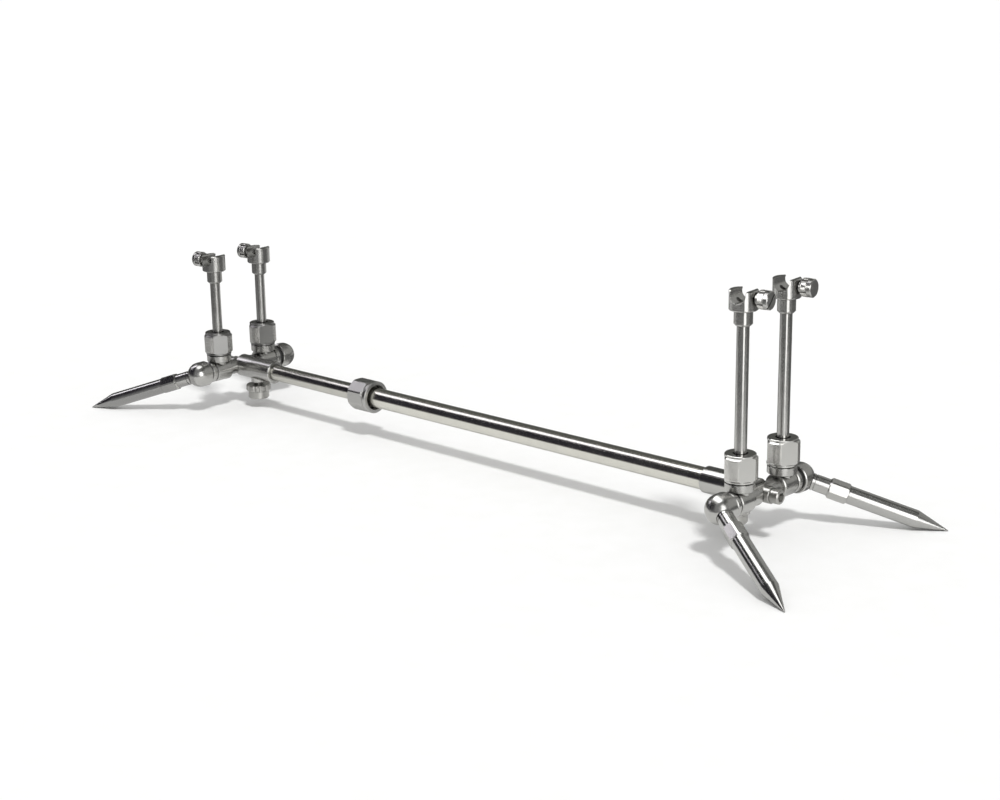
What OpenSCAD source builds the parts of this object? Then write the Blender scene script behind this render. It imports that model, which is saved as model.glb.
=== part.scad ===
// Compact rod pod: a telescopic beam, two crossbars, four uprights with hook heads and four screw-in legs.
// +X runs along the beam to the front, +Y to the left, +Z up. The origin is on the ground under the middle.
// All lengths are in millimetres. Screw threads are plain cylinders at their outer diameter.

/* [Stance] */
// Distance between the two crossbar axes
crossbar_spacing = 650; // [560:5:760]
// Height of the beam and crossbar axes above the ground
axis_height = 40; // [36:0.5:48]
// Angle of each leg outwards from the beam's direction
leg_splay = 29; // [22:1:36]

/* [Beam] */
// Outside diameter of the outer tube
outer_tube_d = 19; // [17:0.5:22]
// Wall of the outer tube
outer_tube_wall = 1; // [0.8:0.1:1.6]
// Radial space between the two tubes
tube_gap = 0.5; // [0.4:0.1:1]
// Wall of the inner tube
inner_tube_wall = 1; // [0.8:0.1:1.6]
// Length of inner tube that shows between the rear socket and the lock nut
inner_tube_shown = 121; // [60:1:160]
// Length of inner tube inside the outer tube
tube_overlap = 240; // [120:5:300]
// Length of the guide bush in front of the inner tube
bush_length = 8; // [5:0.5:12]
// Depth of the guide bush inside the inner tube
bush_depth = 12; // [8:1:20]

/* [Beam lock nut] */
// Wall of the threaded collar on the outer tube
beam_collar_wall = 2.5; // [2:0.1:4]
// Length of the threaded collar
beam_collar_length = 10; // [7:0.5:14]
// Length of the collet between the collar and the nut's lip
beam_collet_length = 5.7; // [4:0.1:8]
// Thickness of the lip that closes the nut at the rear
beam_nut_lip = 3.5; // [2.5:0.5:5]
// Depth of the open mouth in front of the collar
beam_nut_mouth = 7.5; // [6:0.5:10]
// Wall of the nut at its corners
beam_nut_wall = 3.4; // [2.8:0.1:5]
// Depth of the eight flats at their middle
beam_nut_flat_depth = 0.9; // [0.4:0.1:1.3]
// Length of the rear chamfer
beam_nut_rear_chamfer = 2.6; // [1:0.1:3]
// Length of the round rim round the mouth
beam_nut_rim = 4.2; // [3:0.1:5]
// Width of the groove behind the rim
beam_nut_groove_w = 2; // [1:0.1:2.5]
// Depth of the groove behind the rim
beam_nut_groove_depth = 1.6; // [0.8:0.1:2]

/* [Crossbar] */
// Diameter of the bar between the bosses
bar_d = 15; // [13:0.5:18]
// Distance between the two upright axes of one crossbar
upright_spacing = 58; // [50:1:70]
// Diameter of the bosses that carry the uprights
boss_d = 21; // [19:0.5:24]
// Length of each boss along the crossbar
boss_length = 18; // [16:0.5:22]
// Width of the groove outside each boss
boss_groove_w = 1.5; // [0.8:0.1:2]
// Depth of the groove outside each boss
boss_groove_depth = 1.3; // [0.5:0.1:1.5]
// Length of the ring between the groove and the friction washer
boss_ring_length = 4.8; // [3:0.1:7]
// Diameter of the collar under each lock nut
collar_d = 24.5; // [23:0.5:28]
// Height of the collar above the boss
collar_height = 6.5; // [4:0.5:9]
// Wall of the split threaded post
post_wall = 5; // [3.5:0.5:6]
// Height of the post above the collar
post_height = 13.5; // [9:0.5:16]
// Width of the four saw cuts in the post
post_slit = 1.2; // [0.8:0.1:2]
// Depth of the four saw cuts in the post
post_slit_depth = 9; // [5:0.5:9]

/* [Socket] */
// Wall of the socket round the outer tube
socket_wall = 1.75; // [1.5:0.05:3]
// Distance of the socket's saddle end from the crossbar's axis
socket_end = 1.5; // [1:0.5:3]
// Length of the socket from the crossbar's axis
socket_reach = 54; // [48:1:70]
// Distance of the tubes' ends from the crossbar's axis
tube_stop = 20; // [17:0.5:20]
// Diameter of the cap bolt
bolt_d = 8; // [6:0.5:9]
// Diameter of the cap bolt's head
bolt_head_d = 12; // [10:0.5:14]
// Height of the cap bolt's head
bolt_head_h = 8; // [5:0.5:9]
// Width across the flats of the hex recess
bolt_hex = 7; // [4:0.5:7.5]
// Depth of the hex recess
bolt_hex_depth = 4; // [2:0.5:5]
// Depth of the bolt's thread in the socket
bolt_grip = 9; // [6:0.5:11]
// Diameter of the saddle washer
saddle_d = 14; // [12:0.5:15]
// Thickness of the saddle washer beyond the bar
saddle_t = 4; // [1:0.1:5]
// Distance of the thumb screw from the crossbar's axis
socket_screw_x = 25; // [25:0.5:36]
// Diameter of the socket thumb screw's stem
socket_screw_d = 8; // [6:0.5:9]
// Diameter of the boss round the thumb screw's hole
socket_boss_d = 14; // [11:0.5:18]
// Height of that boss below the socket
socket_boss_h = 3; // [2:0.5:4]
// Space between that boss and the knob
socket_knob_gap = 2.2; // [1:0.1:3]
// Diameter of the thumb screw's rim
socket_rim_d = 25; // [20:0.5:28]
// Thickness of the thumb screw's rim
socket_rim_t = 6; // [4:0.5:7]
// Number of scallops round the rim
socket_scallops = 12; // [8:1:16]
// Diameter of each scallop
scallop_d = 4; // [3:0.5:5]
// Distance of each scallop's centre outside the rim
scallop_out = 1; // [0.6:0.1:1.4]
// Diameter of the knob below the rim
socket_knob_d = 21; // [14:0.5:22]
// Height of the knob below the rim
socket_knob_h = 8; // [5:0.5:9]

/* [Upright] */
// Diameter of the rods
rod_d = 10; // [8:0.5:12]
// Length of rod that shows at the front
front_rod_shown = 102.5; // [60:0.5:160]
// Length of rod that shows at the rear
rear_rod_shown = 50.8; // [40:0.5:120]
// Depth of the rod's lower end below the crossbar's axis
rod_foot = 8; // [4:0.5:10]
// Diameter of the threaded end in the head
rod_end_d = 8; // [5:0.5:8]
// Length of the threaded end in the head
rod_end_length = 9; // [6:0.5:10]

/* [Lock nut] */
// Wall of the nut at its knurled strips
nut_wall = 3.95; // [3:0.05:5]
// Depth of the three flats at their middle
nut_flat_depth = 2; // [0.8:0.1:2.2]
// Height of the collet under the nut's lip
collet_height = 6; // [4:0.5:8]
// Wall of the collet
collet_wall = 3; // [2:0.1:3.5]
// Thickness of the nut's top lip
nut_lip = 3.3; // [2.5:0.1:5]
// Radial space between the nut's lip and the rod
nut_lip_gap = 1.2; // [0.5:0.1:1.5]
// Chamfer at both ends of the knurled strips
nut_chamfer = 1.2; // [0.6:0.1:1.3]
// Height of the ring below the strips
nut_low_ring = 1.6; // [1.2:0.1:2.5]
// Height of the ring above the strips
nut_top_ring = 2; // [1.2:0.1:3]
// Inset of both rings from the strips
nut_ring_inset = 1.4; // [1.3:0.1:1.8]
// Turn of the lock nuts about their rods
nut_turn = -27; // [-60:1:60]
// Turn of the rear left lock nut
rear_left_nut_turn = -20; // [-60:1:60]

/* [Head] */
// Diameter of the head's lower collar
head_collar_d = 15; // [13:0.5:18]
// Height of the head's lower collar
head_collar_h = 12.3; // [11:0.1:15]
// Diameter of the head
head_d = 23.2; // [22:0.1:28]
// Height of the head above its collar
head_h = 16; // [15.5:0.5:19]
// Turn of the heads on their rods
head_turn = 6; // [-15:1:15]
// Diameter of the round groove across the head
groove_d = 13.6; // [10:0.1:15]
// Depth of the groove's axis below the top of the head
groove_drop = 3.2; // [2.5:0.1:5]
// Reach of the hook over the groove
hook_lip = 0.4; // [0.1:0.1:1]
// Reach of the knob's side over the groove
knob_lip = 0.3; // [0.1:0.1:1]
// Width of the bevel at the mouth on the knob's side
lead_w = 0.7; // [0.4:0.1:1.5]
// Depth of that bevel
lead_depth = 1.5; // [1:0.1:2.2]
// Diameter of the blind hole low in the groove, in the hook's root
drill_d = 5.5; // [3:0.5:6]
// Depth of that hole
drill_depth = 3.5; // [1:0.5:4]
// Slope of that hole below the level
drill_dip = 56; // [40:1:75]
// Diameter of the head screw's stem
head_screw_d = 5; // [4:0.5:6]
// Depth of the head screw's axis below the top of the head
head_screw_drop = 6.2; // [5:0.1:8]
// Length of the neck between the head and the knob
knob_neck = 2.5; // [2:0.5:5]
// Diameter of the knob's neck
knob_neck_d = 9; // [7:0.5:11]
// Diameter of the knob
knob_d = 15; // [13:0.5:18]
// Length of the fluted part of the knob
knob_length = 6; // [5:0.5:10]
// Number of flutes round the knob
knob_flutes = 5; // [4:1:8]
// Width of each flute
knob_flute_w = 2.2; // [1.5:0.1:3]
// Depth of each flute
knob_flute_depth = 1.1; // [0.6:0.1:1.4]
// Thickness of the knob's end disc
knob_disc = 4; // [3:0.5:6]
// Width of the coin slot in the end of the front right knob
coin_slot_w = 1.4; // [1:0.1:2]
// Depth of the coin slot
coin_slot_depth = 1.2; // [0.6:0.1:2]

/* [Knuckle] */
// Diameter of the knuckle and its dome
knuckle_d = 25; // [23:0.5:28]
// Length of the round skirt between the washer and the dome
knuckle_skirt = 7.7; // [5:0.1:10]
// Diameter of the friction washer
washer_d = 19; // [16:0.5:20]
// Thickness of the friction washer
washer_t = 2.3; // [1:0.1:3]
// Diameter of the spigot that the knuckle turns on
spigot_d = 10; // [9:0.5:11]
// Thickness of the flange at the spigot's end
spigot_flange = 1.5; // [1:0.1:2]
// Diameter of the groove that the leg's dog end runs in
spigot_groove_d = 5.8; // [5:0.1:6.5]

/* [Leg] */
// Diameter of the threaded stud
stud_d = 8; // [7:0.5:9]
// Diameter of the dog end that runs in the spigot's groove
dog_d = 4; // [3:0.5:5]
// Diameter of the neck next to the knuckle
neck_d = 14; // [12:0.5:15]
// Distance of the thin groove in the neck from the knuckle
neck_groove_from = 2.4; // [1.5:0.1:4]
// Width of that groove
neck_groove_w = 0.8; // [0.5:0.1:1.2]
// Depth of that groove
neck_groove_depth = 0.5; // [0.3:0.1:0.8]
// Distance of the faceted collar from the knuckle's centre
leg_collar_from = 25; // [20:0.5:30]
// Diameter of the faceted collar over its corners
leg_collar_d = 17.5; // [16.5:0.5:20]
// Depth of the collar's flats at their middle
leg_flat_depth = 0.8; // [0.4:0.1:1.2]
// Length of the faceted collar
leg_collar_length = 17.5; // [12:0.5:24]
// Diameter of the shaft
shaft_d = 15; // [13:0.5:16]
// Length of the shaft
shaft_length = 57.5; // [40:0.5:80]
// Length of the point
point_length = 27; // [22:0.5:36]
// Radius at the tip of the point
tip_r = 0.5; // [0.3:0.1:1]

/* [Fits] */
// Radial clearance of running and locating fits
fit = 0.05; // [0.03:0.01:0.1]
// Space between pieces that move freely past each other
clear = 0.3; // [0.2:0.05:0.5]
// Chamfer on turned edges
edge = 0.8; // [0.4:0.1:1]

/* [Hidden] */
$fn = 64;
ENDS = [1, -1];
SIDES = [1, -1];

// Names of a place: end 1 is the front, side 1 is the left
function end_name(e) = e > 0 ? "front" : "rear";
function side_name(s) = s > 0 ? "left" : "right";
function corner_name(e, s) = str(end_name(e), "_", side_name(s));

BEAM_NODES = ["outer_tube", "inner_tube", "guide_bush", "beam_thread_collar", "beam_collet", "beam_lock_nut"];
END_PIECES = ["crossbar", "socket", "socket_bolt", "saddle_washer", "socket_screw"];
CORNER_PIECES = ["lock_nut", "collet", "upright", "head", "head_screw", "friction_washer", "knuckle", "leg"];

// Beam
outer_bore_d = outer_tube_d - 2 * outer_tube_wall;
inner_tube_d = outer_bore_d - 2 * tube_gap;
inner_bore_d = inner_tube_d - 2 * inner_tube_wall;
end_x = crossbar_spacing / 2;
socket_d = outer_tube_d + 2 * (fit + socket_wall);
socket_depth = socket_reach - tube_stop;
front_tube_end = end_x - tube_stop;
rear_tube_end = -end_x + tube_stop;
nut_rear_x = -end_x + socket_reach + inner_tube_shown;
nut_lip_x = nut_rear_x + beam_nut_lip;
outer_tube_start = nut_lip_x + clear + beam_collet_length;
mouth_x = outer_tube_start + beam_collar_length;
nut_front_x = mouth_x + beam_nut_mouth;
inner_tube_front = outer_tube_start + tube_overlap;
beam_thread_d = outer_tube_d + 2 * (fit + beam_collar_wall);
beam_nut_bore_d = beam_thread_d + 2 * fit;
beam_nut_d = beam_nut_bore_d + 2 * beam_nut_wall;
beam_nut_length = nut_front_x - nut_rear_x;

// Crossbar, measured from its middle along +Y
upright_y = upright_spacing / 2;
boss_in = upright_y - boss_length / 2;
boss_out = upright_y + boss_length / 2;
ring_in = boss_out + boss_groove_w;
ring_out = ring_in + boss_ring_length;
washer_out = ring_out + washer_t;
knuckle_in = washer_out + clear / 2;
knuckle_y = knuckle_in + knuckle_skirt;
rod_bore_d = rod_d + 2 * fit;
post_d = rod_d + 2 * (fit + post_wall);
collar_top = boss_d / 2 + collar_height;
post_top = collar_top + post_height;

// Lock nut, measured from the crossbar's axis along +Z
nut_bottom = collar_top + clear;
nut_bore_d = post_d + 2 * fit;
nut_d = nut_bore_d + 2 * nut_wall;
collet_d = rod_bore_d + 2 * collet_wall;
nut_cavity_top = post_top + collet_height + clear;
nut_top = nut_cavity_top + nut_lip;
nut_lip_bore_d = rod_d + 2 * nut_lip_gap;
nut_side_bottom = nut_bottom + nut_low_ring;
nut_side_top = nut_top - nut_top_ring;

// Head, measured from the underside of its collar along +Z
head_top = head_collar_h + head_h;
groove_z = head_top - groove_drop;
head_groove_r = groove_d / 2;
head_screw_z = head_top - head_screw_drop;
knob_start = head_d / 2 + knob_neck;
knob_end = knob_start + knob_length;
disc_end = knob_end + knob_disc;

// Spigot and leg, measured from the knuckle's centre
knuckle_r = knuckle_d / 2;
spigot_r = spigot_d / 2;
dog_tip = (spigot_groove_d / 2 + clear + dog_d / 2 * sin(leg_splay)) / cos(leg_splay);
groove_start = dog_tip * sin(leg_splay) - dog_d / 2 * cos(leg_splay) - clear;
groove_end = spigot_r * tan(leg_splay) + dog_d / 2 / cos(leg_splay) + clear;
spigot_end = groove_end + spigot_flange;
stud_start = (spigot_r + clear) * cos(leg_splay) + spigot_end * sin(leg_splay);
neck_seat_r = neck_d / 2 + clear;
neck_seat = sqrt(knuckle_r * knuckle_r - neck_seat_r * neck_seat_r);
leg_shaft_from = leg_collar_from + leg_collar_length;
point_from = leg_shaft_from + shaft_length;
point_half_angle = atan((shaft_d / 2 - tip_r) / point_length);
tip_centre = point_from + point_length - tip_r;
leg_dip = asin((axis_height - tip_r) / (tip_centre * cos(leg_splay)));

// Socket thumb screw, measured from the beam's axis downwards
socket_boss_bottom = socket_d / 2 + socket_boss_h;
rim_top = socket_boss_bottom + socket_knob_gap;

steel = "silver";
bright_steel = "gainsboro";
dark_steel = "darkgray";
nylon = "ivory";

// Shapes that several pieces share

// A turned solid on +Z from a list of [radius, height] points
module turned(profile) {
    rotate_extrude() polygon(concat([[0, profile[0][1]]], profile, [[0, profile[len(profile) - 1][1]]]));
}

// A round bar on +Z with a chamfer at each end
module bar(d, length, low = 0, high = 0) {
    turned([[d / 2 - low, 0], [d / 2, low], [d / 2, length - high], [d / 2 - high, length]]);
}

// A bore on +Z that runs past both of its ends
module bore(d, from, to) {
    translate([0, 0, from]) cylinder(d = d, h = to - from);
}

// A regular prism on +Z with its flats at a given distance across
module flats_prism(sides, across, from, to) {
    translate([0, 0, from]) rotate([0, 0, 180 / sides])
        cylinder(d = across / cos(180 / sides), h = to - from, $fn = sides);
}

// A saw cut through a ring, on one side of +Z
module saw_cut(width, reach, from, to) {
    translate([0, -width / 2, from]) cube([reach, width, to - from]);
}

module along_x() { rotate([0, 90, 0]) children(); }
module along_y() { rotate([-90, 0, 0]) children(); }

// Places a piece that is drawn on the middle of a crossbar
module on_crossbar(e) { translate([e * end_x, 0, axis_height]) children(); }

// Turns a piece drawn for the front so that its +X points outwards at either end
module outwards(e) { rotate([0, 0, e > 0 ? 0 : 180]) children(); }

// Places a piece drawn for the front left corner at any corner
module at_corner(e, s) {
    on_crossbar(e) mirror([e < 0 ? 1 : 0, 0, 0]) mirror([0, s < 0 ? 1 : 0, 0]) children();
}

module at_knuckle(e, s) { at_corner(e, s) translate([0, knuckle_y, 0]) children(); }

// Places a piece drawn on an upright's own axis, from the crossbar's axis
module at_upright(e, s) { on_crossbar(e) translate([0, s * upright_y, 0]) children(); }

// Places a piece drawn on a head's own axis, from the underside of its collar
module at_head(e, s) {
    shown = e > 0 ? front_rod_shown : rear_rod_shown;
    at_upright(e, s) translate([0, 0, nut_top + shown]) rotate([0, 0, head_turn]) outwards(e) children();
}

// Turns a piece drawn along +Z to the leg's direction
module leg_direction() { rotate([0, leg_dip, 0]) rotate([0, 0, leg_splay]) along_x() children(); }

module on_beam() { translate([0, 0, axis_height]) along_x() children(); }

// Beam

module outer_tube() {
    color(bright_steel) on_beam() difference() {
        translate([0, 0, outer_tube_start]) cylinder(d = outer_tube_d, h = front_tube_end - outer_tube_start);
        bore(outer_bore_d, outer_tube_start - 1, front_tube_end + 1);
    }
}

module inner_tube() {
    color(bright_steel) on_beam() difference() {
        translate([0, 0, rear_tube_end]) cylinder(d = inner_tube_d, h = inner_tube_front - rear_tube_end);
        bore(inner_bore_d, rear_tube_end - 1, inner_tube_front + 1);
    }
}

module guide_bush() {
    color(nylon) on_beam() translate([0, 0, inner_tube_front]) {
        bar(outer_bore_d - 2 * fit, bush_length, 0, edge);
        translate([0, 0, -bush_depth]) bar(inner_bore_d - 2 * fit, bush_depth, edge, 0);
    }
}

module beam_thread_collar() {
    color(dark_steel) on_beam() difference() {
        translate([0, 0, outer_tube_start]) bar(beam_thread_d, beam_collar_length, edge, edge);
        bore(outer_tube_d + 2 * fit, outer_tube_start - 1, mouth_x + 1);
    }
}

module beam_collet() {
    from = nut_lip_x + clear;
    color(nylon) on_beam() difference() {
        translate([0, 0, from]) bar(beam_nut_bore_d - 2 * clear, beam_collet_length, edge, 0);
        bore(inner_tube_d + 2 * fit, from - 1, outer_tube_start + 1);
        saw_cut(post_slit, beam_nut_d, from - 1, outer_tube_start + 1);
    }
}

module beam_lock_nut() {
    r = beam_nut_d / 2;
    rim_from = beam_nut_length - beam_nut_rim;
    groove_from = rim_from - beam_nut_groove_w;
    groove_r = r - beam_nut_groove_depth;
    across = beam_nut_d - 2 * beam_nut_flat_depth;
    color(steel) on_beam() translate([0, 0, nut_rear_x]) difference() {
        union() {
            intersection() {
                turned([
                    [r - beam_nut_rear_chamfer, 0], [r, beam_nut_rear_chamfer],
                    [r, groove_from - edge], [groove_r, groove_from + edge], [groove_r, rim_from + edge]
                ]);
                flats_prism(8, across, -1, beam_nut_length);
            }
            translate([0, 0, rim_from])
                turned([[groove_r, 0], [r, edge], [r, beam_nut_rim - edge], [r - edge, beam_nut_rim]]);
        }
        bore(inner_tube_d + 2 * clear, -1, beam_nut_length);
        bore(beam_nut_bore_d, beam_nut_lip, beam_nut_length + 1);
    }
}

// Ends

// Half of the crossbar's turned outline as [radius, distance from the middle], from the middle outwards
function crossbar_half_outline() = [
    [bar_d / 2, boss_in],
    [boss_d / 2 - edge, boss_in],
    [boss_d / 2, boss_in + edge],
    [boss_d / 2, boss_out - edge],
    [boss_d / 2 - edge, boss_out],
    [boss_d / 2 - boss_groove_depth, boss_out],
    [boss_d / 2 - boss_groove_depth, ring_in],
    [boss_d / 2 - edge, ring_in],
    [boss_d / 2, ring_in + edge],
    [boss_d / 2, ring_out - edge],
    [boss_d / 2 - edge, ring_out],
    [spigot_r, ring_out],
    [spigot_r, knuckle_y + groove_start],
    [spigot_groove_d / 2, knuckle_y + groove_start],
    [spigot_groove_d / 2, knuckle_y + groove_end],
    [spigot_r, knuckle_y + groove_end],
    [spigot_r, knuckle_y + spigot_end]
];

module crossbar(e) {
    half = crossbar_half_outline();
    last = len(half) - 1;
    other_half = [for (i = [0 : last]) [half[last - i][0], -half[last - i][1]]];
    color(steel) on_crossbar(e) difference() {
        union() {
            along_y() turned(concat(other_half, half));
            for (s = SIDES) translate([0, s * upright_y, 0]) collar_and_post();
        }
        along_x() bore(bolt_d + 2 * clear, -bar_d, bar_d);
        for (s = SIDES) translate([0, s * upright_y, 0]) {
            bore(rod_bore_d, -boss_d, post_top + 1);
            for (turn = [0, 90]) rotate([0, 0, turn])
                translate([-post_d, -post_slit / 2, post_top - post_slit_depth])
                    cube([2 * post_d, post_slit, post_slit_depth + 1]);
        }
    }
}

// The neck on a boss, with the collar and the threaded post above it
module collar_and_post() {
    neck_r = boss_length / 2 - edge;
    collar_from = boss_d / 2 - edge;
    turned([
        [neck_r, 0], [neck_r, collar_from], [collar_d / 2 - edge, collar_from],
        [collar_d / 2, collar_from + edge], [collar_d / 2, collar_top - edge],
        [collar_d / 2 - edge, collar_top], [post_d / 2, collar_top],
        [post_d / 2, post_top - edge], [post_d / 2 - edge, post_top]
    ]);
}

module socket(e) {
    tube_d = e > 0 ? outer_tube_d : inner_tube_d;
    color(steel) on_crossbar(e) outwards(e) difference() {
        union() {
            translate([-socket_reach, 0, 0]) along_x() bar(socket_d, socket_reach - socket_end, edge, edge);
            translate([-socket_screw_x, 0, -socket_boss_bottom])
                bar(socket_boss_d, socket_boss_bottom, edge, 0);
        }
        translate([0, -socket_d, 0]) along_y() cylinder(d = bar_d + 2 * fit, h = 2 * socket_d);
        translate([-socket_reach - 1, 0, 0]) along_x() cylinder(d = tube_d + 2 * fit, h = socket_depth + 1);
        along_x() bore(bolt_d + 2 * fit, -bar_d / 2 - bolt_grip - clear, 0);
        translate([-socket_screw_x, 0, -socket_boss_bottom - 1])
            cylinder(d = socket_screw_d + 2 * fit, h = socket_boss_bottom + 1);
    }
}

module socket_bolt(e) {
    seat = bar_d / 2 + saddle_t;
    color(dark_steel) on_crossbar(e) outwards(e) along_x() difference() {
        union() {
            translate([0, 0, seat]) bar(bolt_head_d, bolt_head_h, 0, edge);
            bore(bolt_d, -bar_d / 2 - bolt_grip, seat + 1);
        }
        flats_prism(6, bolt_hex, seat + bolt_head_h - bolt_hex_depth, seat + bolt_head_h + 1);
    }
}

module saddle_washer(e) {
    root = bar_d / 4;
    color(dark_steel) on_crossbar(e) outwards(e) difference() {
        along_x() translate([0, 0, root]) bar(saddle_d, bar_d / 2 + saddle_t - root, 0, edge / 2);
        translate([0, -saddle_d, 0]) along_y() cylinder(d = bar_d + 2 * fit, h = 2 * saddle_d);
        along_x() bore(bolt_d + 2 * clear, 0, bar_d);
    }
}

module socket_screw(e) {
    tube_r = (e > 0 ? outer_tube_d : inner_tube_d) / 2;
    stem = rim_top - tube_r - clear;
    color(dark_steel) on_crossbar(e) outwards(e) translate([-socket_screw_x, 0, -rim_top]) {
        cylinder(d = socket_screw_d, h = stem);
        difference() {
            translate([0, 0, -socket_rim_t]) bar(socket_rim_d, socket_rim_t, edge, edge);
            for (i = [1 : socket_scallops]) rotate([0, 0, 360 / socket_scallops * i])
                translate([socket_rim_d / 2 + scallop_out, 0, -socket_rim_t - 1])
                    cylinder(d = scallop_d, h = socket_rim_t + 2);
        }
        translate([0, 0, -socket_rim_t - socket_knob_h]) bar(socket_knob_d, socket_knob_h + 1, edge, 0);
    }
}

// Corners

module lock_nut(e, s) {
    r = nut_d / 2;
    ring_r = r - nut_ring_inset;
    core_r = nut_bore_d / 2 + edge;
    across = nut_d - 2 * nut_flat_depth;
    turn = e < 0 && s > 0 ? rear_left_nut_turn : nut_turn;
    color(steel) at_upright(e, s) rotate([0, 0, turn]) difference() {
        union() {
            turned([
                [ring_r - edge / 2, nut_bottom], [ring_r, nut_bottom + edge / 2], [ring_r, nut_side_bottom],
                [core_r, nut_side_bottom], [core_r, nut_side_top], [ring_r, nut_side_top],
                [ring_r, nut_top - edge / 2], [ring_r - edge / 2, nut_top]
            ]);
            intersection() {
                turned([
                    [r - nut_chamfer, nut_side_bottom], [r, nut_side_bottom + nut_chamfer],
                    [r, nut_side_top - nut_chamfer], [r - nut_chamfer, nut_side_top]
                ]);
                flats_prism(3, across, nut_bottom, nut_top);
            }
        }
        bore(nut_bore_d, nut_bottom - 1, post_top + clear);
        bore(collet_d + 2 * clear, post_top, nut_cavity_top);
        bore(nut_lip_bore_d, post_top, nut_top + 1);
    }
}

module collet(e, s) {
    color(nylon) at_upright(e, s) difference() {
        translate([0, 0, post_top]) bar(collet_d, collet_height, 0, edge);
        bore(rod_bore_d, post_top - 1, post_top + collet_height + 1);
        saw_cut(post_slit, collet_d, post_top - 1, post_top + collet_height + 1);
    }
}

module upright(e, s) {
    shown = e > 0 ? front_rod_shown : rear_rod_shown;
    length = rod_foot + nut_top + shown - clear / 2;
    color(bright_steel) at_upright(e, s) translate([0, 0, -rod_foot]) {
        bar(rod_d, length, edge, 0);
        translate([0, 0, length - 1]) bar(rod_end_d, rod_end_length + 1, 0, edge);
    }
}

module head(e, s) {
    color(steel) at_head(e, s) difference() {
        union() {
            bar(head_collar_d, head_collar_h + 1, 2 * edge, 0);
            translate([0, 0, head_collar_h]) bar(head_d, head_h, edge, edge);
        }
        bore(rod_end_d + 2 * fit, -1, rod_end_length + clear);
        translate([0, 0, groove_z]) {
            translate([0, -head_d, 0]) along_y() cylinder(r = head_groove_r, h = 2 * head_d);
            rotate([0, -90 - drill_dip, 0]) bore(drill_d, 0, head_groove_r + drill_depth);
        }
        head_mouth();
        translate([0, 0, head_screw_z]) along_x() bore(head_screw_d + 2 * fit, 0, head_d);
    }
}

// The space from the groove to the top, with the hook on one side and a bevel on the knob's side
module head_mouth() {
    hook_x = hook_lip - head_groove_r;
    knob_x = head_groove_r - knob_lip;
    bevel_z = groove_drop - lead_depth;
    translate([0, head_d, groove_z]) rotate([90, 0, 0]) linear_extrude(2 * head_d) polygon([
        [hook_x, 0], [knob_x, 0], [knob_x, bevel_z], [knob_x + lead_w, groove_drop],
        [knob_x + lead_w, groove_drop + 1], [hook_x, groove_drop + 1]
    ]);
}

module head_screw(e, s) {
    tip = head_groove_r + clear;
    neck_r = knob_neck_d / 2;
    r = knob_d / 2;
    slotted = e > 0 && s < 0;
    color(steel) at_head(e, s) translate([0, 0, head_screw_z]) along_x() difference() {
        union() {
            bore(head_screw_d, tip, knob_start);
            turned([
                [neck_r, head_d / 2 + clear], [neck_r, knob_start], [r - edge, knob_start],
                [r, knob_start + edge], [r, knob_end - edge / 2], [r - edge / 2, knob_end],
                [r, knob_end + edge / 2], [r, disc_end - edge], [r - edge, disc_end]
            ]);
        }
        for (i = [1 : knob_flutes]) rotate([0, 0, 360 / knob_flutes * i])
            translate([r - knob_flute_depth, -knob_flute_w / 2, knob_start - 1])
                cube([knob_d, knob_flute_w, knob_length + 1]);
        if (slotted) rotate([0, 0, 45])
            translate([-coin_slot_w / 2, -knob_d, disc_end - coin_slot_depth])
                cube([coin_slot_w, 2 * knob_d, coin_slot_depth + 1]);
    }
}

module friction_washer(e, s) {
    color("dimgray") at_corner(e, s) along_y() difference() {
        translate([0, 0, ring_out]) cylinder(d = washer_d, h = washer_t);
        bore(spigot_d + 2 * fit, ring_out - 1, washer_out + 1);
    }
}

module knuckle(e, s) {
    color(steel) at_knuckle(e, s) difference() {
        union() {
            along_y() translate([0, 0, -knuckle_skirt]) bar(knuckle_d, knuckle_skirt, edge, 0);
            difference() {
                sphere(r = knuckle_r);
                translate([-knuckle_d, -2 * knuckle_d, -knuckle_d]) cube(2 * knuckle_d);
            }
        }
        along_y() bore(spigot_d + 2 * fit, -knuckle_skirt - 1, spigot_end + clear);
        leg_direction() {
            bore(dog_d + 2 * clear, 0, stud_start);
            bore(stud_d + 2 * fit, stud_start - clear, knuckle_d);
            bore(2 * neck_seat_r, neck_seat, knuckle_d);
        }
    }
}

module leg(e, s) {
    neck_from = neck_seat + clear / 2;
    across = leg_collar_d - 2 * leg_flat_depth;
    collar_end_r = leg_collar_d / 2 - 2 * edge;
    cone_end = tip_centre + tip_r * sin(point_half_angle);
    neck_r = neck_d / 2;
    groove_r = neck_r - neck_groove_depth;
    groove_from = neck_from + neck_groove_from;
    color(steel) at_knuckle(e, s) leg_direction() {
        bore(dog_d, dog_tip, neck_from + 1);
        bore(stud_d, stud_start, neck_from + 1);
        turned([
            [neck_r - edge / 2, neck_from], [neck_r, neck_from + edge / 2], [neck_r, groove_from],
            [groove_r, groove_from], [groove_r, groove_from + neck_groove_w],
            [neck_r, groove_from + neck_groove_w], [neck_r, leg_collar_from + 1]
        ]);
        intersection() {
            translate([0, 0, leg_collar_from]) bar(leg_collar_d, leg_collar_length, 2 * edge, 2 * edge);
            flats_prism(6, across, leg_collar_from - 1, leg_shaft_from + 1);
        }
        turned([
            [shaft_d / 2, leg_shaft_from - 1], [shaft_d / 2, point_from],
            [tip_r * cos(point_half_angle), cone_end]
        ]);
        translate([0, 0, tip_centre]) sphere(r = tip_r);
    }
}

outer_tube();
inner_tube();
guide_bush();
beam_thread_collar();
beam_collet();
beam_lock_nut();

for (e = ENDS) {
    crossbar(e);
    socket(e);
    socket_bolt(e);
    saddle_washer(e);
    socket_screw(e);
}

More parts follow.
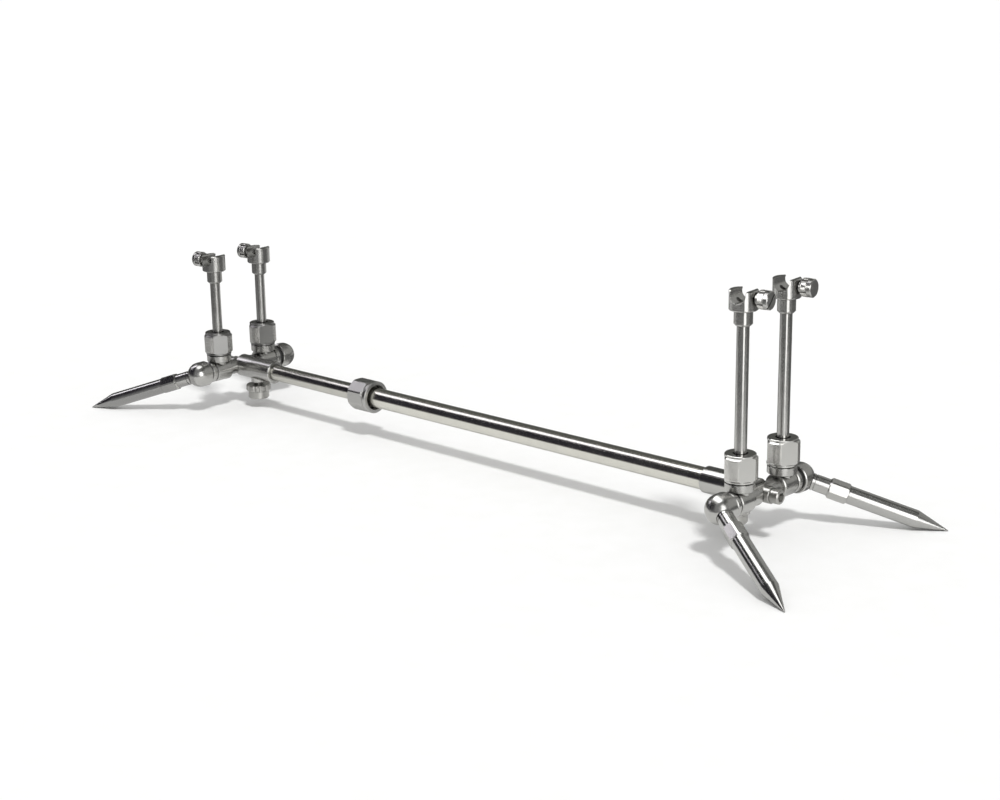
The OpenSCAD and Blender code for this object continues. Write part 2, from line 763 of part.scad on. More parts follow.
for (e = ENDS) for (s = SIDES) {
    lock_nut(e, s);
    collet(e, s);
    upright(e, s);
    head(e, s);
    head_screw(e, s);
    friction_washer(e, s);
    knuckle(e, s);
    leg(e, s);
}
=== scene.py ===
import math

import bpy
from mathutils import Matrix, Vector


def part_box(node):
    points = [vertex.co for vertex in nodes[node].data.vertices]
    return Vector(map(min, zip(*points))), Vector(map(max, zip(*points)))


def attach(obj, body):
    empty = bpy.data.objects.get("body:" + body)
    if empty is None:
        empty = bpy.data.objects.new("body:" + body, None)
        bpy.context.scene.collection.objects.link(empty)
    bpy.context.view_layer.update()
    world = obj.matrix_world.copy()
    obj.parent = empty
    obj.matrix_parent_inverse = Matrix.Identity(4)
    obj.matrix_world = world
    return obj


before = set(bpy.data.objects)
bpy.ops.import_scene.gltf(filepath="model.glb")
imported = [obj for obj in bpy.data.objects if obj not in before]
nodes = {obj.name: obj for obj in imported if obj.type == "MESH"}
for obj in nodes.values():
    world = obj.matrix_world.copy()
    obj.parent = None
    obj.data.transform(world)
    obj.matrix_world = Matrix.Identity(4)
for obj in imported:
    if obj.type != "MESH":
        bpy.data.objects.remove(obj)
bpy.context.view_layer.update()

# Places of the pod's pieces, in metres, as in the CAD
END_X = 0.325
AXIS_Z = 0.040
UPRIGHT_Y = 0.029
KNUCKLE_Y = 0.05445
POST_FROM = AXIS_Z + 0.0098
LEG_SPLAY = math.radians(29)
LEG_SHAFT_FROM = 0.0425
LEG_TIP = 0.1265
LEG_TIP_RADIUS = 0.0005
LEG_DIP = math.asin((AXIS_Z - LEG_TIP_RADIUS) / (LEG_TIP * math.cos(LEG_SPLAY)))
HEAD_TURN = math.radians(6)
ENDS = {"front": 1, "rear": -1}
SIDES = {"left": 1, "right": -1}
X_AXIS = Vector((1, 0, 0))
Y_AXIS = Vector((0, 1, 0))
Z_AXIS = Vector((0, 0, 1))
KNOB_AXIS = Vector((math.cos(HEAD_TURN), math.sin(HEAD_TURN), 0))
ON_BEAM = Vector((0, 0, AXIS_Z))


def corners():
    """Each corner's name with its end and side as signs."""
    for end, e in ENDS.items():
        for side, s in SIDES.items():
            yield end + "_" + side, e, s


# Materials


class Tree:
    """The nodes of a material or a world, with short ways to add and link them."""

    def __init__(self, owner):
        owner.use_nodes = True
        self.owner = owner
        self.tree = owner.node_tree
        self.tree.nodes.clear()

    def node(self, kind, inputs=None, **settings):
        made = self.tree.nodes.new(kind)
        for key, value in settings.items():
            setattr(made, key, value)
        for key, value in (inputs or {}).items():
            self.feed(made.inputs[key], value)
        return made

    def feed(self, socket, value):
        if isinstance(value, bpy.types.NodeSocket):
            self.tree.links.new(value, socket)
        else:
            socket.default_value = value

    def vector(self, operation, a, b):
        made = self.node("ShaderNodeVectorMath", {0: a, 1: b}, operation=operation)
        return made.outputs["Value" if operation == "DOT_PRODUCT" else "Vector"]

    def to_world(self, vector):
        made = self.node("ShaderNodeVectorTransform", {"Vector": vector}, vector_type="VECTOR",
                         convert_from="OBJECT", convert_to="WORLD")
        return made.outputs[0]

    def math(self, operation, a, b):
        return self.node("ShaderNodeMath", {0: a, 1: b}, operation=operation).outputs[0]

    def spread(self, value, low, high, out_low, out_high):
        made = self.node("ShaderNodeMapRange", {0: value, 1: low, 2: high, 3: out_low, 4: out_high})
        return made.outputs[0]

    def between(self, value, rise, fall):
        """1 between two soft edges and 0 outside them."""
        risen = self.spread(value, *rise, 0.0, 1.0)
        fallen = self.spread(value, *fall, 1.0, 0.0)
        return self.math("MULTIPLY", risen, fallen)

    def mix_colour(self, factor, a, b):
        made = self.node("ShaderNodeMix", data_type="RGBA")
        self.feed(made.inputs["Factor"], factor)
        self.feed(made.inputs[6], a)
        self.feed(made.inputs[7], b)
        return made.outputs[2]

    def mix_vector(self, factor, a, b):
        made = self.node("ShaderNodeMix", data_type="VECTOR")
        self.feed(made.inputs["Factor"], factor)
        self.feed(made.inputs[4], a)
        self.feed(made.inputs[5], b)
        return made.outputs[1]

    def noise(self, where, scale, detail):
        made = self.node("ShaderNodeTexNoise", {"Vector": where, "Scale": scale, "Detail": detail})
        return made.outputs["Fac"]

    def rings(self, along, scale, detail):
        made = self.node("ShaderNodeTexNoise", {"W": along, "Scale": scale, "Detail": detail},
                         noise_dimensions="1D")
        return made.outputs["Fac"]

    def output(self, shader, kind="ShaderNodeOutputMaterial"):
        self.node(kind, {"Surface": shader})
        return self.owner


def material_tree(name):
    return Tree(bpy.data.materials.new(name))


def shade(colour, share=1.0):
    """A colour made darker or lighter, with its alpha."""
    return [min(1.0, c * share) for c in colour] + [1.0]


# The range that holds most of a noise's values
NOISE = (0.3, 0.7)

# Marks of turning and use: scales in waves per metre, depths in metres, the rest as shares
MICRON = 0.000001
RING_SCALE = 2500.0
RING_STRENGTH = 0.4
RING_ROUGHER = (-0.005, 0.008)
SMUDGE_SCALE = 90.0
SMUDGE_EDGES = (0.35, 0.65)
SMUDGE_DARKER = 0.94
SMUDGE_ROUGHER = (0.88, 1.1)
SPECK_SCALE = 1400.0
SPECK_EDGES = (0.62, 0.8)
SPECK_ROUGHER = 0.015
WEAR_EDGES = (1.0, 0.93)
WEAR_BRIGHTER = 1.16
EDGE_RADIUS = 0.00025
SHARP_RADIUS = 0.00005

# Painted shade: the metal's colour darkens towards near black in narrow gaps, slots and grooves, by ambient
# occlusion
NOOK_REACH = 0.0025
NOOK_DARK = 0.30
NOOK_OPEN = 0.80
NOOK_SHADE_COLOUR = (0.035, 0.033, 0.03, 1.0)

# The satin finish of the legs' shafts and the beam's nut
SATIN_COLOUR = (0.44, 0.438, 0.424)
SATIN_BLEND = 0.0005
SATIN_ROUGHER = 0.02


def turned_metal(name, axis, colour, roughness, streak, point=None, ring_depth=6 * MICRON, edge=EDGE_RADIUS,
                 satin=None):
    """Bare metal turned about an axis: rings, highlights drawn out across them, worn edges and smudges.

    The axis passes through the point, or through the piece's middle. A satin part begins at a distance along
    the axis from the point."""
    t = material_tree(name)
    coords = t.node("ShaderNodeTexCoord")
    place = coords.outputs["Object"]
    if point is None:
        offset = t.vector("SUBTRACT", coords.outputs["Generated"], (0.5, 0.5, 0.5))
    else:
        offset = t.vector("SUBTRACT", place, point)
    marks = t.vector("CROSS_PRODUCT", axis, offset)
    tangent = t.to_world(t.vector("CROSS_PRODUCT", coords.outputs["Normal"], marks))
    part = None
    if satin is not None:
        part = t.spread(t.vector("DOT_PRODUCT", offset, axis), satin, satin + SATIN_BLEND, 0.0, 1.0)
    along = t.vector("DOT_PRODUCT", place, axis)
    return finish_metal(t, place, along, tangent, colour, roughness, streak, ring_depth, edge, part)


def crossbar_metal(name, end, colour, roughness, streak, ring_depth):
    """Metal turned about the crossbar, and about the upright above each boss."""
    t = material_tree(name)
    coords = t.node("ShaderNodeTexCoord")
    place = coords.outputs["Object"]
    x = end * END_X
    parts = t.node("ShaderNodeSeparateXYZ", {0: place})
    upright_y = t.math("MULTIPLY", t.math("SIGN", parts.outputs["Y"], 0.0), UPRIGHT_Y)
    foot = t.node("ShaderNodeCombineXYZ", {"X": x, "Y": upright_y, "Z": AXIS_Z})
    round_bar = t.vector("CROSS_PRODUCT", Y_AXIS, t.vector("SUBTRACT", place, (x, 0.0, AXIS_Z)))
    round_post = t.vector("CROSS_PRODUCT", Z_AXIS, t.vector("SUBTRACT", place, foot.outputs[0]))
    above = t.math("GREATER_THAN", parts.outputs["Z"], POST_FROM)
    marks = t.mix_vector(above, round_bar, round_post)
    tangent = t.to_world(t.vector("CROSS_PRODUCT", coords.outputs["Normal"], marks))
    along = parts.outputs["Y"]
    return finish_metal(t, place, along, tangent, colour, roughness, streak, ring_depth, EDGE_RADIUS)


def finish_metal(t, place, along, tangent, colour, roughness, streak, ring_depth, edge, satin=None):
    """The shader that all the turned metals share."""
    rings = t.rings(along, RING_SCALE, detail=3.0)
    smudges = t.noise(place, SMUDGE_SCALE, detail=4.0)
    specks = t.noise(place, SPECK_SCALE, detail=2.0)
    rounded = t.node("ShaderNodeBevel", {"Radius": edge}, samples=4).outputs[0]
    plain = t.node("ShaderNodeNewGeometry").outputs["Normal"]
    wear = t.spread(t.vector("DOT_PRODUCT", rounded, plain), *WEAR_EDGES, 0.0, 1.0)
    smudged = t.spread(smudges, *SMUDGE_EDGES, 0.0, 1.0)
    body = t.mix_colour(smudged, shade(colour, SMUDGE_DARKER), shade(colour))
    if satin is not None:
        body = t.mix_colour(satin, body, shade(SATIN_COLOUR))
    body = t.mix_colour(wear, body, shade(colour, WEAR_BRIGHTER))
    # Painted shade: the colour turns darker where ambient occlusion finds a gap, slot or groove
    nook = t.node("ShaderNodeAmbientOcclusion", {"Distance": NOOK_REACH}, samples=6)
    nook_shade = t.spread(nook.outputs["AO"], NOOK_DARK, NOOK_OPEN, 1.0, 0.0)
    body = t.mix_colour(nook_shade, body, NOOK_SHADE_COLOUR)
    rough = t.spread(smudges, *NOISE, *(roughness * share for share in SMUDGE_ROUGHER))
    rough = t.math("ADD", rough, t.spread(rings, *NOISE, *RING_ROUGHER))
    rough = t.math("ADD", rough, t.spread(specks, *SPECK_EDGES, 0.0, SPECK_ROUGHER))
    if satin is not None:
        rough = t.math("ADD", rough, t.math("MULTIPLY", satin, SATIN_ROUGHER))
    bump = t.node("ShaderNodeBump", {"Strength": RING_STRENGTH, "Distance": ring_depth, "Height": rings,
                                     "Normal": rounded})
    shader = t.node("ShaderNodeBsdfPrincipled", {"Base Color": body, "Metallic": 1.0, "Roughness": rough,
                                                 "Anisotropic": streak, "Normal": bump.outputs[0],
                                                 "Tangent": tangent})
    return t.output(shader.outputs[0])


def grained(name, colour, roughness, metallic, grain_scale, grain_strength, grain_depth, grain_rougher,
            cloud_scale, cloud_darker):
    """A surface with a fine grain and soft darker clouds, for knurled metal and moulded plastic."""
    t = material_tree(name)
    place = t.node("ShaderNodeTexCoord").outputs["Object"]
    grain = t.noise(place, grain_scale, detail=3.0)
    cloud = t.spread(t.noise(place, cloud_scale, detail=3.0), *NOISE, 0.0, 1.0)
    body = t.mix_colour(cloud, shade(colour, cloud_darker), shade(colour))
    bump = t.node("ShaderNodeBump", {"Strength": grain_strength, "Distance": grain_depth, "Height": grain})
    rough = t.spread(grain, *NOISE, *(roughness * share for share in grain_rougher))
    shader = t.node("ShaderNodeBsdfPrincipled", {"Base Color": body, "Metallic": metallic,
                                                 "Roughness": rough, "Normal": bump.outputs[0]})
    return t.output(shader.outputs[0])


def knurl_metal(name, colour, roughness):
    """The metal of the knurled strips."""
    return grained(name, colour, roughness, metallic=1.0, grain_scale=2600.0, grain_strength=0.5,
                   grain_depth=20 * MICRON, grain_rougher=(0.8, 1.25), cloud_scale=160.0, cloud_darker=0.86)


def moulded(name, colour, roughness):
    """Plain moulded plastic with a fine uneven skin."""
    return grained(name, colour, roughness, metallic=0.0, grain_scale=1800.0, grain_strength=0.4,
                   grain_depth=30 * MICRON, grain_rougher=(0.9, 1.1), cloud_scale=120.0, cloud_darker=0.85)


TUBE_COLOUR = (0.65, 0.64, 0.585)
INNER_TUBE_COLOUR = (0.52, 0.512, 0.472)
STEEL_COLOUR = (0.47, 0.466, 0.449)
# Painted light and shade: the lock nuts are one steel, with the front ones' colour painted lighter and the
# rear ones' painted darker
LIT_FRONT_NUT_COLOUR = (0.55, 0.546, 0.525)
SHADED_REAR_NUT_COLOUR = (0.30, 0.298, 0.29)
SCREW_COLOUR = (0.44, 0.435, 0.415)
KNURL_COLOUR = (0.72, 0.71, 0.68)
NYLON_COLOUR = (0.80, 0.78, 0.72)
WASHER_COLOUR = (0.03, 0.03, 0.03)

tube_x = turned_metal("tube_along_x", X_AXIS, TUBE_COLOUR, roughness=0.20, streak=0.85, point=ON_BEAM,
                      ring_depth=MICRON)
inner_tube_x = turned_metal("inner_tube_along_x", X_AXIS, INNER_TUBE_COLOUR, roughness=0.20, streak=0.85,
                            point=ON_BEAM, ring_depth=MICRON)
rod_z = turned_metal("rod_upright", Z_AXIS, STEEL_COLOUR, roughness=0.20, streak=0.88,
                     ring_depth=0.3 * MICRON, edge=SHARP_RADIUS)
steel_x = turned_metal("steel_about_x", X_AXIS, STEEL_COLOUR, roughness=0.22, streak=0.85, point=ON_BEAM,
                       ring_depth=MICRON)
steel_y = turned_metal("steel_about_y", Y_AXIS, STEEL_COLOUR, roughness=0.25, streak=0.6,
                       ring_depth=2 * MICRON)
steel_z = turned_metal("steel_about_z", Z_AXIS, STEEL_COLOUR, roughness=0.24, streak=0.88,
                       ring_depth=0.5 * MICRON)
# The lock nuts' steel in two copies: painted light at the front, painted shade at the rear
lit_front_nut_z = turned_metal("front_nut_steel_painted_lit", Z_AXIS, LIT_FRONT_NUT_COLOUR, roughness=0.20, streak=0.6,
                           ring_depth=MICRON)
shaded_rear_nut_z = turned_metal("rear_nut_steel_painted_shade", Z_AXIS, SHADED_REAR_NUT_COLOUR, roughness=0.34, streak=0.85,
                          ring_depth=MICRON)
knob_steel = turned_metal("knob_steel", KNOB_AXIS, STEEL_COLOUR, roughness=0.32, streak=0.8,
                          ring_depth=3 * MICRON)
satin_x = turned_metal("satin_about_x", X_AXIS, SATIN_COLOUR, roughness=0.38, streak=0.6, point=ON_BEAM,
                       ring_depth=MICRON)
screw_x = turned_metal("screw_about_x", X_AXIS, SCREW_COLOUR, roughness=0.34, streak=0.6)
screw_z = turned_metal("screw_about_z", Z_AXIS, SCREW_COLOUR, roughness=0.36, streak=0.6)
knurled = knurl_metal("knurled_steel", KNURL_COLOUR, roughness=0.24)
nylon = moulded("nylon", NYLON_COLOUR, roughness=0.5)
washer_black = moulded("washer_black", WASHER_COLOUR, roughness=0.6)


def leg_metal(corner, e, s):
    """A leg's metal, turned about the leg's own axis, with a satin shaft."""
    across = math.cos(LEG_SPLAY)
    axis = Vector((e * across * math.cos(LEG_DIP), s * math.sin(LEG_SPLAY), -across * math.sin(LEG_DIP)))
    knuckle_centre = Vector((e * END_X, s * KNUCKLE_Y, AXIS_Z))
    return turned_metal(corner + "_leg_steel", axis, STEEL_COLOUR, roughness=0.21, streak=0.7,
                        point=knuckle_centre, ring_depth=0.3 * MICRON, edge=SHARP_RADIUS,
                        satin=LEG_SHAFT_FROM)


def paint(node, material):
    """Gives a CAD node its material."""
    mesh = nodes[node].data
    mesh.materials.clear()
    mesh.materials.append(material)


paint("outer_tube", tube_x)
paint("inner_tube", inner_tube_x)
paint("beam_lock_nut", satin_x)
paint("beam_thread_collar", screw_x)
paint("beam_collet", nylon)
paint("guide_bush", nylon)
for end, e in ENDS.items():
    bar_steel = crossbar_metal(end + "_crossbar_steel", e, STEEL_COLOUR, roughness=0.25, streak=0.7,
                               ring_depth=2 * MICRON)
    paint(end + "_crossbar", bar_steel)
    paint(end + "_socket", steel_x)
    paint(end + "_socket_bolt", screw_x)
    paint(end + "_saddle_washer", screw_x)
    paint(end + "_socket_screw", screw_z)
for corner, e, s in corners():
    # Front nuts take the painted-lit steel, rear nuts the painted-shaded one
    paint(corner + "_lock_nut", lit_front_nut_z if e > 0 else shaded_rear_nut_z)
    paint(corner + "_collet", nylon)
    paint(corner + "_upright", rod_z)
    paint(corner + "_head", steel_z)
    paint(corner + "_head_screw", knob_steel)
    paint(corner + "_friction_washer", washer_black)
    paint(corner + "_knuckle", steel_y)
    paint(corner + "_leg", leg_metal(corner, e, s))

# Knurling: a nut's strips lie between its flats and a knob's between its flutes, with angles in degrees
NUT_RADIUS = 0.01405
NUT_FLATS = 3
NUT_FLAT_FROM_AXIS = 0.01205
NUT_FLAT_HALF = math.degrees(math.acos(NUT_FLAT_FROM_AXIS / NUT_RADIUS))
NUT_STRIP_MARGIN = 1
NUT_STRIP_FROM = 0.0604
NUT_STRIP_TO = 0.0766
NUT_TURN = -27
REAR_LEFT_NUT_TURN = -20
NUT_POINTS = {"round_pitch": 0.0012, "along_pitch": 0.0015, "depth": 0.00009}
KNOB_RADIUS = 0.0075
KNOB_STRIP_FROM = 0.0152
KNOB_STRIP_TO = 0.0197
KNOB_FLUTES = 5
KNOB_FLUTE_HALF = 9.5
KNOB_POINTS = {"round_pitch": 0.0010, "along_pitch": 0.0012, "depth": 0.00012}
SHEET_LIFT = 0.00002
SHEET_SUNK = 0.0003


def knurl_sheet(radius, middle, half, low, high, round_pitch, along_pitch, depth):
    """Points and faces of one closed sheet of diamond points, bent round +Z about a middle angle."""
    columns = max(2, round(math.radians(2 * half) * radius / (round_pitch / 2)))
    rows = max(2, round((high - low) / (along_pitch / 2)))
    points = []
    for layer in range(2):
        for j in range(rows + 1):
            for i in range(columns + 1):
                inside = 0 < i < columns and 0 < j < rows
                r = radius - SHEET_SUNK
                if layer == 0:
                    r = radius + SHEET_LIFT + (depth if inside and (i + j) % 2 else 0.0)
                angle = math.radians(middle - half + 2 * half * i / columns)
                points.append((r * math.cos(angle), r * math.sin(angle), low + (high - low) * j / rows))
    width = columns + 1
    layer_size = width * (rows + 1)
    faces = []
    for j in range(rows):
        for i in range(columns):
            a = j * width + i
            b, c, d = a + 1, a + width + 1, a + width
            faces += [(a, b, c), (a, c, d)] if (i + j) % 2 == 0 else [(a, b, d), (b, c, d)]
            faces.append(tuple(layer_size + k for k in (d, c, b, a)))
    rim = list(range(columns))
    rim += [j * width + columns for j in range(rows)]
    rim += [rows * width + columns - i for i in range(columns)]
    rim += [(rows - j) * width for j in range(rows)]
    for k, a in enumerate(rim):
        b = rim[(k + 1) % len(rim)]
        faces.append((b, a, a + layer_size, b + layer_size))
    return points, faces


def nut_strips(turn):
    """The knurled strips of a lock nut turned about its axis."""
    step = 360 / NUT_FLATS
    half = step / 2 - NUT_FLAT_HALF - NUT_STRIP_MARGIN
    return [knurl_sheet(NUT_RADIUS, turn + step * (k + 0.5), half, NUT_STRIP_FROM, NUT_STRIP_TO,
                        **NUT_POINTS) for k in range(NUT_FLATS)]


def knob_strips():
    """The knurled strips of a head screw's knob."""
    step = 360 / KNOB_FLUTES
    half = step / 2 - KNOB_FLUTE_HALF
    return [knurl_sheet(KNOB_RADIUS, step * (k + 0.5), half, KNOB_STRIP_FROM, KNOB_STRIP_TO,
                        **KNOB_POINTS) for k in range(KNOB_FLUTES)]


def mesh_object(name, points, faces, material):
    mesh = bpy.data.meshes.new(name)
    mesh.from_pydata(points, [], faces)
    mesh.materials.append(material)
    made = bpy.data.objects.new(name, mesh)
    bpy.context.scene.collection.objects.link(made)
    return made


def add_knurl(name, body, place, sheets):
    """One piece made of several sheets, drawn about +Z and moved to its place."""
    points = []
    faces = []
    for sheet_points, sheet_faces in sheets:
        start = len(points)
        points += [place @ Vector(p) for p in sheet_points]
        faces += [tuple(start + k for k in face) for face in sheet_faces]
    piece = mesh_object(name, points, faces, knurled)
    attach(piece, body)


for corner, e, s in corners():
    nut_turn = REAR_LEFT_NUT_TURN if corner == "rear_left" else NUT_TURN
    nut_foot = Matrix.Translation((e * END_X, s * UPRIGHT_Y, 0.0))
    add_knurl(corner + "_nut_knurl", corner + "_lock_nut_body", nut_foot, nut_strips(nut_turn))
    screw_low, screw_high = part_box(corner + "_head_screw")
    knob_turn = HEAD_TURN if e > 0 else HEAD_TURN + math.pi
    outwards = Matrix.Rotation(knob_turn, 4, "Z") @ Matrix.Rotation(math.pi / 2, 4, "Y")
    knob_foot = Matrix.Translation((e * END_X, s * UPRIGHT_Y, (screw_low.z + screw_high.z) / 2))
    add_knurl(corner + "_knob_knurl", corner + "_head_screw_body", knob_foot @ outwards, knob_strips())


# Studio: a paper floor, and walls and cards that only the metal's reflections show
QUAD = [(0, 1, 2, 3)]
FLOOR_HALF = 12.0
FLOOR_GRAIN = 40.0
FLOOR_DARK = (0.93, 0.93, 0.92, 1.0)
FLOOR_PALE = (0.95, 0.95, 0.945, 1.0)
CARD_GRAIN = 6.0
CARD_UNEVEN = 0.1


def stage_mesh(name, points, faces, material):
    made = mesh_object(name, points, faces, material)
    return made


def reflected(name, points, faces, material):
    """A piece of the stage that only reflections show."""
    made = stage_mesh(name, points, faces, material)
    made.visible_camera = False
    made.visible_diffuse = False
    made.visible_transmission = False
    made.visible_volume_scatter = False
    made.visible_shadow = False


def floor_material():
    """Pale paper with a faint grain."""
    t = material_tree("floor_paper")
    place = t.node("ShaderNodeTexCoord").outputs["Object"]
    grain = t.spread(t.noise(place, FLOOR_GRAIN, detail=4.0), *NOISE, 0.0, 1.0)
    shader = t.node("ShaderNodeBsdfDiffuse", {"Color": t.mix_colour(grain, FLOOR_DARK, FLOOR_PALE)})
    return t.output(shader.outputs[0])


def square(half):
    """The corners of a square about the origin."""
    return [(-half, -half), (half, -half), (half, half), (-half, half)]


stage_mesh("floor", [(x, y, 0) for x, y in square(FLOOR_HALF)], QUAD, floor_material())

# The walls' plain colours: the near wall is dark on the left and lighter on the right
NEAR_DARK = (0.022, 0.020, 0.028, 1.0)
NEAR_LIGHT = (0.32, 0.32, 0.325, 1.0)
NEAR_LIGHT_X = (-0.28, 0.0)
FAR_DARK = (0.12, 0.122, 0.115, 1.0)
FAR_DARK_Y = (-0.30, -0.05)

# A soft box overhead on the left, by its lean from the near side and its reach along X
BOX_LEAN_IN = (math.radians(67), math.radians(70))
BOX_LEAN_OUT = (math.radians(83), math.radians(87))
BOX_TILT = math.radians(44)
BOX_MIDDLE = 0.65
BOX_X_IN = (-0.93, -0.90)
BOX_X_OUT = (-0.46, -0.40)
BOX_COLOUR = (3.2, 3.1, 3.35, 1.0)

# A low window on the right, by its turn round the pod and its height
WINDOW_FROM = (math.radians(-40), math.radians(-37))
WINDOW_TO = (math.radians(-16), math.radians(-13))
WINDOW_TOP = (0.55, 0.65)
WINDOW_COLOUR = (5.0, 5.0, 5.0, 1.0)

# A lamp overhead, by how near a direction is to its own
TOP_AIM = Vector((-0.02, -0.10, 0.99)).normalized()
TOP_EDGE = (math.cos(math.radians(19)), math.cos(math.radians(14)))
TOP_COLOUR = (3.0, 3.0, 3.0, 1.0)

# A lighter stretch of the far wall, by its turn round the pod and its height
FAR_FROM = (math.radians(5), math.radians(15))
FAR_TO = (math.radians(105), math.radians(115))
FAR_BOTTOM = (0.08, 0.16)
FAR_TOP = (0.68, 0.78)
FAR_COLOUR = (0.48, 0.48, 0.47, 1.0)

WALL_RADIUS = 10.0
WALL_RINGS = 16
WALL_AROUND = 64


def wall_material():
    """The studio that the metal reflects, painted by the direction from the pod."""
    t = material_tree("studio_walls")
    place = t.node("ShaderNodeTexCoord").outputs["Object"]
    direction = t.node("ShaderNodeVectorMath", {0: place}, operation="NORMALIZE").outputs[0]
    parts = t.node("ShaderNodeSeparateXYZ", {0: direction})
    x, y, z = (parts.outputs[axis] for axis in "XYZ")
    round_about = t.math("ARCTAN2", y, x)
    near = t.mix_colour(t.spread(x, *NEAR_LIGHT_X, 0.0, 1.0), NEAR_DARK, NEAR_LIGHT)
    colour = t.mix_colour(t.spread(y, *FAR_DARK_Y, 0.0, 1.0), near, FAR_DARK)
    lean = t.math("ARCTAN2", z, t.math("MULTIPLY", y, -1.0))
    lean = t.math("SUBTRACT", lean, t.math("MULTIPLY", t.math("ADD", x, BOX_MIDDLE), BOX_TILT))
    box = t.math("MULTIPLY", t.between(lean, BOX_LEAN_IN, BOX_LEAN_OUT), t.between(x, BOX_X_IN, BOX_X_OUT))
    colour = t.mix_colour(box, colour, BOX_COLOUR)
    window = t.between(round_about, WINDOW_FROM, WINDOW_TO)
    window = t.math("MULTIPLY", window, t.spread(z, *WINDOW_TOP, 1.0, 0.0))
    colour = t.mix_colour(window, colour, WINDOW_COLOUR)
    top = t.spread(t.vector("DOT_PRODUCT", direction, TOP_AIM), *TOP_EDGE, 0.0, 1.0)
    colour = t.mix_colour(top, colour, TOP_COLOUR)
    light = t.math("MULTIPLY", t.between(round_about, FAR_FROM, FAR_TO), t.between(z, FAR_BOTTOM, FAR_TOP))
    colour = t.mix_colour(light, colour, FAR_COLOUR)
    return t.output(t.node("ShaderNodeEmission", {"Color": colour}).outputs[0])


def dome(radius, rings, around):
    """Points and faces of half a sphere over the floor."""
    points = []
    for j in range(rings):
        up = math.pi / 2 * j / rings
        for i in range(around):
            turn = 2 * math.pi * i / around
            points.append((radius * math.cos(up) * math.cos(turn), radius * math.cos(up) * math.sin(turn),
                           radius * math.sin(up)))
    points.append((0, 0, radius))
    faces = []
    for j in range(rings - 1):
        for i in range(around):
            k = (i + 1) % around
            faces.append((j * around + i, (j + 1) * around + i, (j + 1) * around + k, j * around + k))
    for i in range(around):
        k = (i + 1) % around
        faces.append(((rings - 1) * around + i, len(points) - 1, (rings - 1) * around + k))
    return points, faces


reflected("studio_walls", *dome(WALL_RADIUS, WALL_RINGS, WALL_AROUND), wall_material())


def card_material(name, level):
    """A card with a faintly uneven face."""
    t = material_tree(name)
    place = t.node("ShaderNodeTexCoord").outputs["Object"]
    grain = t.noise(place, CARD_GRAIN, detail=2.0)
    dark = [level * (1 - CARD_UNEVEN)] * 3 + [1.0]
    pale = [level * (1 + CARD_UNEVEN)] * 3 + [1.0]
    shader = t.node("ShaderNodeEmission", {"Color": t.mix_colour(grain, dark, pale)})
    return t.output(shader.outputs[0])


def card(name, points, level, faces=QUAD):
    reflected(name, points, faces, card_material(name, level))


# A wide dark card on the floor, with a stepped hole round the pod that lets the pale floor show
HOLE_REAR_X = -0.62
HOLE_FRONT_X = 0.74
HOLE_NEAR_Y = -0.28
HOLE_FAR_Y = 0.08
STEP_X = 0.34
STEP_Y = 0.14
DARK_HALF = 9.0
DARK_LEVEL = 0.19
CARD_Z = 0.0015
hole = [(HOLE_REAR_X, HOLE_NEAR_Y), (HOLE_FRONT_X, HOLE_NEAR_Y), (HOLE_FRONT_X, STEP_Y), (STEP_X, STEP_Y),
        (STEP_X, HOLE_FAR_Y), (HOLE_REAR_X, HOLE_FAR_Y)]
dark_faces = [(0, 1, 5, 4), (1, 2, 6, 5), (2, 3, 9, 8, 7, 6), (3, 0, 4, 9)]
card("dark_card", [(x, y, CARD_Z) for x, y in square(DARK_HALF) + hole], DARK_LEVEL, dark_faces)

# Two cards on the floor: one under the rear end, and a bright one behind the pod
REAR_CARD_TO_X = -0.33
REAR_CARD_LEVEL = 0.62
FAR_CARD_LOW = (-1.3, 0.30)
FAR_CARD_HIGH = (-0.05, 1.3)
FAR_CARD_LEVEL = 0.80


def flat_card(name, low, high, level):
    """A card on the floor between two corners, just over the dark card."""
    outline = [low, (high[0], low[1]), high, (low[0], high[1])]
    card(name, [(x, y, 2 * CARD_Z) for x, y in outline], level)


flat_card("rear_card", (HOLE_REAR_X, HOLE_NEAR_Y), (REAR_CARD_TO_X, HOLE_FAR_Y), REAR_CARD_LEVEL)
flat_card("far_card", FAR_CARD_LOW, FAR_CARD_HIGH, FAR_CARD_LEVEL)

# A bright card that stands in front of the pod
STAND_PLACE = Vector((0.73, -0.31, 0.0))
STAND_ALONG = Vector((0.42, 0.91, 0.0)).normalized()
STAND_HALF = 0.10
STAND_HEIGHT = 0.60
STAND_LEVEL = 3.0
stand_points = [STAND_PLACE - STAND_ALONG * STAND_HALF, STAND_PLACE + STAND_ALONG * STAND_HALF]
stand_points += [p + Z_AXIS * STAND_HEIGHT for p in reversed(stand_points)]
card("bright_card", stand_points, STAND_LEVEL)

# A bright card over the pod, which the nearest leg reflects along its middle, and a dark one beside it
OVER_PLACE = Vector((0.2725, -0.061, 0.234))
OVER_ALONG = Vector((0.82, -0.48, 0.31)) * 0.12
OVER_ACROSS = Vector((0.51, 0.86, 0.0))
OVER_EDGES = (-0.45, -0.065, 0.04)
OVER_LEVEL = 4.0
FLAG_LEVEL = 0.03


def over_card(name, low, high, level):
    """A card over the pod between two distances across the nearest leg."""
    outline = ((-1, low), (1, low), (1, high), (-1, high))
    card(name, [OVER_PLACE + i * OVER_ALONG + j * OVER_ACROSS for i, j in outline], level)


over_card("over_card", OVER_EDGES[1], OVER_EDGES[2], OVER_LEVEL)
over_card("over_flag", OVER_EDGES[0], OVER_EDGES[1], FLAG_LEVEL)

# Light: one soft lamp overhead on the near side, and an even fill from all round
LAMP_DIRECTION = Vector((0.464, -0.245, 0.853))
LAMP_ENERGY = 1.7
LAMP_ANGLE = math.radians(8)
FILL_LEVEL = 0.62


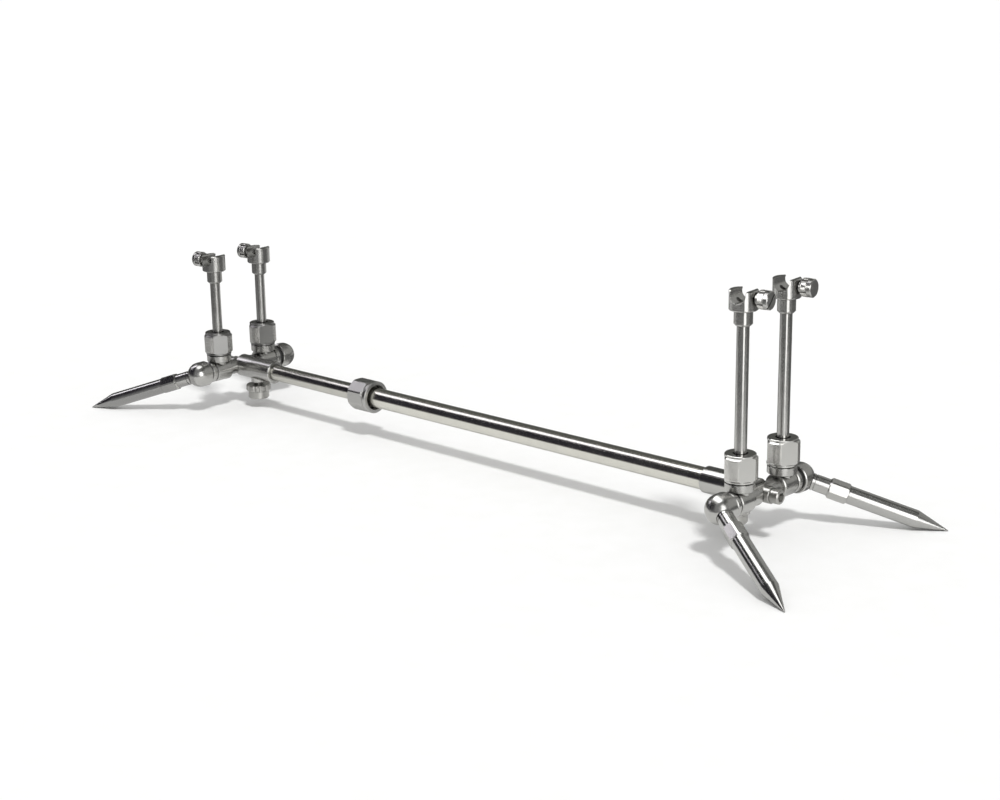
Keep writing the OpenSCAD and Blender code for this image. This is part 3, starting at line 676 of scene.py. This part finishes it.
def add_lamp():
    data = bpy.data.lights.new("key", "SUN")
    data.energy = LAMP_ENERGY
    data.angle = LAMP_ANGLE
    lamp = bpy.data.objects.new("key", data)
    lamp.rotation_mode = "QUATERNION"
    lamp.rotation_quaternion = LAMP_DIRECTION.to_track_quat("Z", "Y")
    lamp.visible_glossy = False
    bpy.context.scene.collection.objects.link(lamp)


def studio_world():
    """White where it is seen, reflected or looked through, and the fill's level as light."""
    t = Tree(bpy.data.worlds.new("studio"))
    path = t.node("ShaderNodeLightPath")
    seen = t.math("MAXIMUM", path.outputs["Is Camera Ray"], path.outputs["Is Glossy Ray"])
    seen = t.math("MAXIMUM", seen, path.outputs["Is Transmission Ray"])
    strength = t.spread(seen, 0.0, 1.0, FILL_LEVEL, 1.0)
    background = t.node("ShaderNodeBackground", {"Color": (1, 1, 1, 1), "Strength": strength})
    return t.output(background.outputs[0], "ShaderNodeOutputWorld")


add_lamp()
bpy.context.scene.world = studio_world()

# Camera, as in the photograph
IMAGE_WIDTH = 1000
FOCAL_PIXELS = 1833.3
SENSOR_WIDTH = 36.0
CAMERA_PLACE = Vector((1.1279, -1.1579, 0.5045))
YAW = math.radians(-43.209)
PITCH = math.radians(15.417)
ROLL = math.radians(0.882)
CLIP_NEAR = 0.05
CLIP_FAR = 50.0


def add_camera():
    forward = Vector((math.sin(YAW) * math.cos(PITCH), math.cos(YAW) * math.cos(PITCH), -math.sin(PITCH)))
    level_right = Vector((math.cos(YAW), -math.sin(YAW), 0))
    level_down = forward.cross(level_right)
    right = math.cos(ROLL) * level_right + math.sin(ROLL) * level_down
    down = -math.sin(ROLL) * level_right + math.cos(ROLL) * level_down
    data = bpy.data.cameras.new("camera")
    data.sensor_width = SENSOR_WIDTH
    data.lens = FOCAL_PIXELS * SENSOR_WIDTH / IMAGE_WIDTH
    data.clip_start = CLIP_NEAR
    data.clip_end = CLIP_FAR
    camera = bpy.data.objects.new("camera", data)
    turned = Matrix((right, -down, -forward)).transposed()
    camera.matrix_world = Matrix.Translation(CAMERA_PLACE) @ turned.to_4x4()
    bpy.context.scene.collection.objects.link(camera)
    bpy.context.scene.camera = camera


add_camera()
bpy.context.scene.view_settings.view_transform = "Standard"
